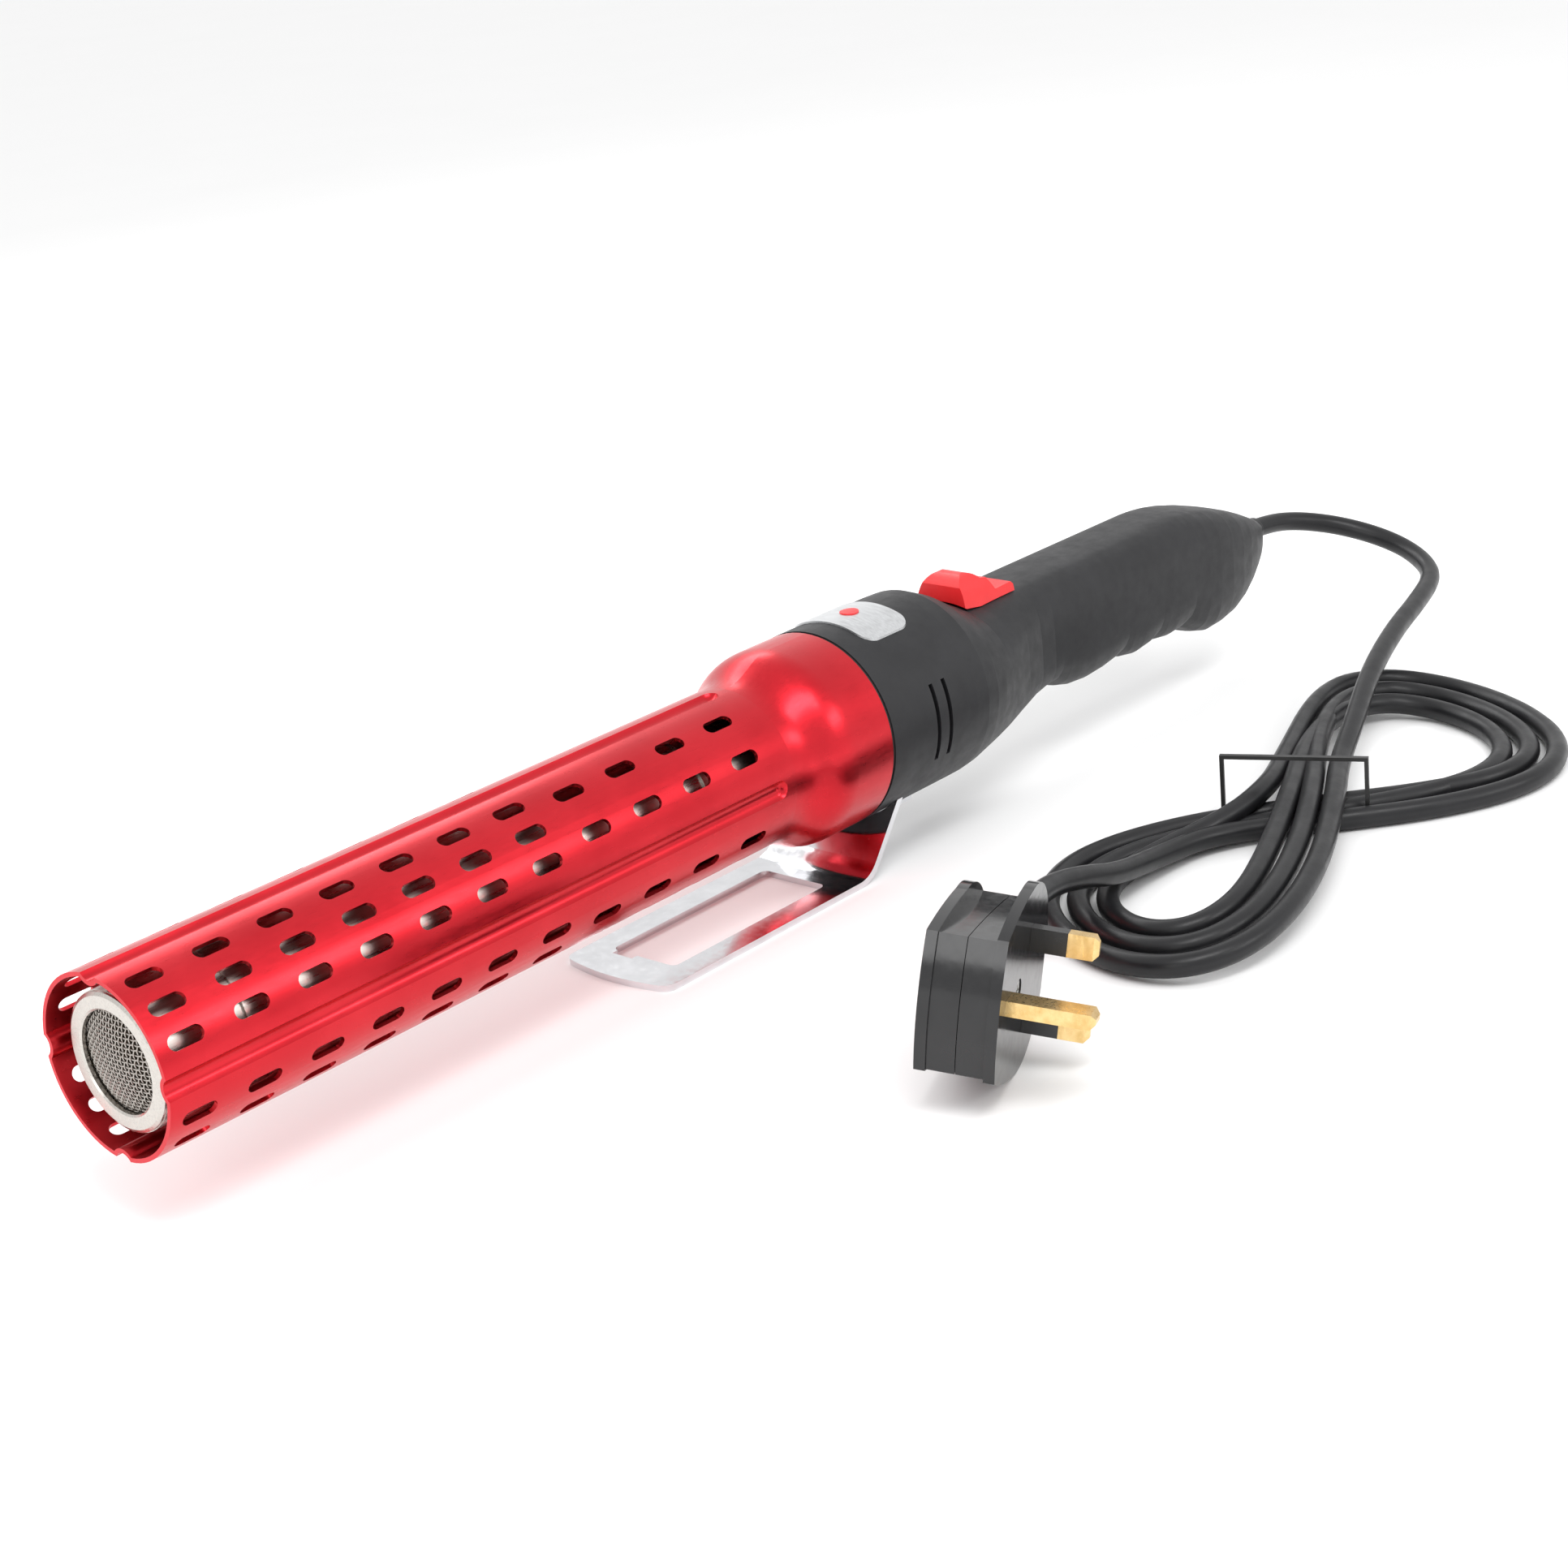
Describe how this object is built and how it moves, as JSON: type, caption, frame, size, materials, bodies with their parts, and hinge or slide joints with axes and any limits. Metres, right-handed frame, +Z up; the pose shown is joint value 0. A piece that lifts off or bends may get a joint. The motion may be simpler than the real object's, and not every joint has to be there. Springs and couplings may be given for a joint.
{
  "type": "electric hot air charcoal lighter",
  "caption": "Hand-held electric hot air lighter: slotted red metal barrel, black grip with slide switch, wire-tied mains lead with three-pin plug, and a bent steel foot.",
  "frame": {"origin": "on the surface it stands on, midway along the tool's length without its cord, under the barrel's axis", "axes": "+X from the muzzle to the grip's end along the barrel's axis, +Y to the far side, +Z up"},
  "size_m": [0.5487, 0.2014, 0.077],
  "materials": {
    "barrel_red": "satin anodised",
    "handle_black": "fine moulded satin",
    "switch_red": "moulded satin",
    "stand_chrome": "polished",
    "steel": "satin",
    "mesh_steel": "woven wire",
    "badge_silver": "brushed",
    "seal_black": "matte",
    "mica": "layered sheet",
    "heater_wire": "oxidised",
    "screw_zinc": "zinc plated",
    "fan_plastic": "moulded",
    "motor_steel": "plated",
    "copper_wound": "enamelled wire",
    "magnet_dark": "sintered",
    "bush_bronze": "sintered",
    "mount_nylon": "moulded",
    "board_green": "lacquered",
    "component_black": "moulded",
    "terminal_white": "moulded",
    "wire_white": "insulation",
    "cord_black": "satin",
    "plug_black": "glossy",
    "plug_brass": "satin",
    "fuse_ceramic": "glazed",
    "tie_black": "coated wire"
  },
  "bodies": {
    "body": {"outer_barrel": "barrel_red", "barrel_seal_ring": "seal_black", "inner_heat_tube": "steel", "nozzle_ring": "steel", "nozzle_mesh": "mesh_steel", "mica_sleeve": "mica", "heater_former": "mica", "heating_coil": "heater_wire", "front_tube_spacer": "steel", "rear_tube_spacer": "steel", "heat_shield": "steel", "thermal_cutout": "component_black", "housing_near_shell": "handle_black", "housing_far_shell": "handle_black", "housing_screws": "screw_zinc", "badge_plate": "badge_silver", "badge_dot": "switch_red", "stand_bracket": "stand_chrome", "stand_screws": "screw_zinc", "fan_shroud": "mount_nylon", "motor_can": "motor_steel", "motor_end_cap": "fan_plastic", "motor_magnets": "magnet_dark", "motor_bushes": "bush_bronze", "motor_mount": "mount_nylon", "motor_screws": "screw_zinc", "switch_body": "component_black", "rectifier_board": "board_green", "rectifier_diodes": "component_black", "smoothing_capacitor": "component_black", "terminal_block": "terminal_white", "motor_leads": "wire_white", "switch_wires": "wire_white", "cord_clamp": "mount_nylon", "cord_clamp_block": "mount_nylon", "clamp_screws": "screw_zinc", "strain_relief": "cord_black", "cord_inner": "cord_black", "cord_lead": "cord_black", "cord_coil": "cord_black", "cable_tie": "tie_black", "cord_tail": "cord_black", "plug_base": "plug_black", "plug_cover": "plug_black", "plug_earth_pin": "plug_brass", "plug_line_pin": "plug_brass", "plug_neutral_pin": "plug_brass", "plug_pin_sleeves": "component_black", "plug_screw": "screw_zinc", "plug_fuse": "fuse_ceramic", "plug_fuse_clips": "plug_brass", "plug_cord_grip": "mount_nylon"},
    "slider": {"switch_slider": "switch_red", "switch_toggle": "component_black"},
    "rotor": {"fan_impeller": "fan_plastic", "motor_shaft": "steel", "motor_armature": "copper_wound"}
  },
  "joints": [
    {"name": "switch_slide", "type": "slide", "parent": "body", "child": "slider", "axis": [1, 0, 0], "range_m": [0, 0.006]},
    {"name": "fan_spin", "type": "hinge", "parent": "body", "child": "rotor", "pos_m": [0.03, 0, 0.045], "axis": [1, 0, 0], "continuous": true}
  ]
}
